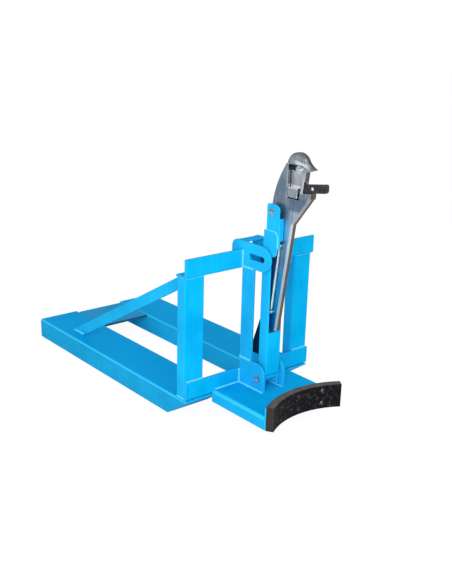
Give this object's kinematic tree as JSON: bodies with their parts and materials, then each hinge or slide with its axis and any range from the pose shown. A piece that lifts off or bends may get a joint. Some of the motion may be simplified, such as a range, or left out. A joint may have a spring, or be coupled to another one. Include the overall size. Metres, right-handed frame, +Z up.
{
  "type": "drum lifter",
  "caption": "Fork-mounted drum lifter: a welded frame on fork pockets with a rubber-faced belly saddle and a tilting mast whose sprung beak and jaw grip a drum's rim.",
  "frame": {"origin": "centre of the bounding box, on the floor under the pockets' soles", "axes": "+Z up, -Y towards the drum, +Y towards the truck, +X across the width, to the right of someone who faces the truck from the drum's side"},
  "size_m": [0.571, 1.316, 0.907],
  "materials": {
    "blue_paint": "glossy bright blue enamel",
    "dark_paint": "dark blue-black enamel",
    "arm_steel": "bare steel plate, flame cut",
    "link_steel": "bright steel plate",
    "zinc": "zinc plated",
    "rubber": "matt black rubber",
    "black_jaw": "blackened steel"
  },
  "bodies": {
    "frame": {"left_fork_pocket": "blue_paint", "right_fork_pocket": "blue_paint", "rear_tie_plate": "blue_paint", "left_brace": "blue_paint", "lower_beam": "blue_paint", "left_post": "blue_paint", "right_post": "blue_paint", "top_angle": "blue_paint", "left_lug": "blue_paint", "right_lug": "blue_paint", "lug_cover_plate": "blue_paint", "left_rib": "blue_paint", "right_rib": "blue_paint", "left_base_bracket": "blue_paint", "right_base_bracket": "blue_paint", "belly_box": "blue_paint", "saddle_plate": "blue_paint", "saddle_pad": "rubber", "pad_bolts": "zinc", "pad_nuts": "zinc", "mast_pivot_bolt": "zinc", "mast_pivot_nut": "zinc", "mast_pivot_washers": "zinc"},
    "mast": {"mast_tube": "blue_paint", "left_mast_cheek": "blue_paint", "right_mast_cheek": "blue_paint", "mast_heel_web": "dark_paint", "mast_pivot_bush": "blue_paint", "stop_pins": "blue_paint", "clevis_tube": "blue_paint", "arm_pin": "zinc", "arm_pin_clip": "zinc", "arm_spacers": "zinc", "upper_spring_peg": "zinc", "return_spring": "zinc"},
    "arm": {"beak_arm": "arm_steel", "head_back_plate": "arm_steel", "lower_spring_peg": "zinc", "jaw_pin": "zinc", "jaw_pin_clip": "zinc"},
    "jaw": {"jaw_link": "link_steel", "jaw_carrier": "arm_steel", "lower_jaw": "black_jaw"}
  },
  "joints": [
    {"name": "mast_tilt", "type": "hinge", "parent": "frame", "child": "mast", "pos_m": [0, -0.437, 0.132], "axis": [1, 0, 0], "range_deg": [-7.5, 0]},
    {"name": "arm_swing", "type": "hinge", "parent": "mast", "child": "arm", "pos_m": [0, -0.456, 0.71], "axis": [1, 0, 0], "range_deg": [-10, 1], "deforming": ["return_spring"]},
    {"name": "jaw_close", "type": "hinge", "parent": "arm", "child": "jaw", "pos_m": [0, -0.536, 0.852], "axis": [-1, 0, 0], "range_deg": [0, 5]}
  ]
}
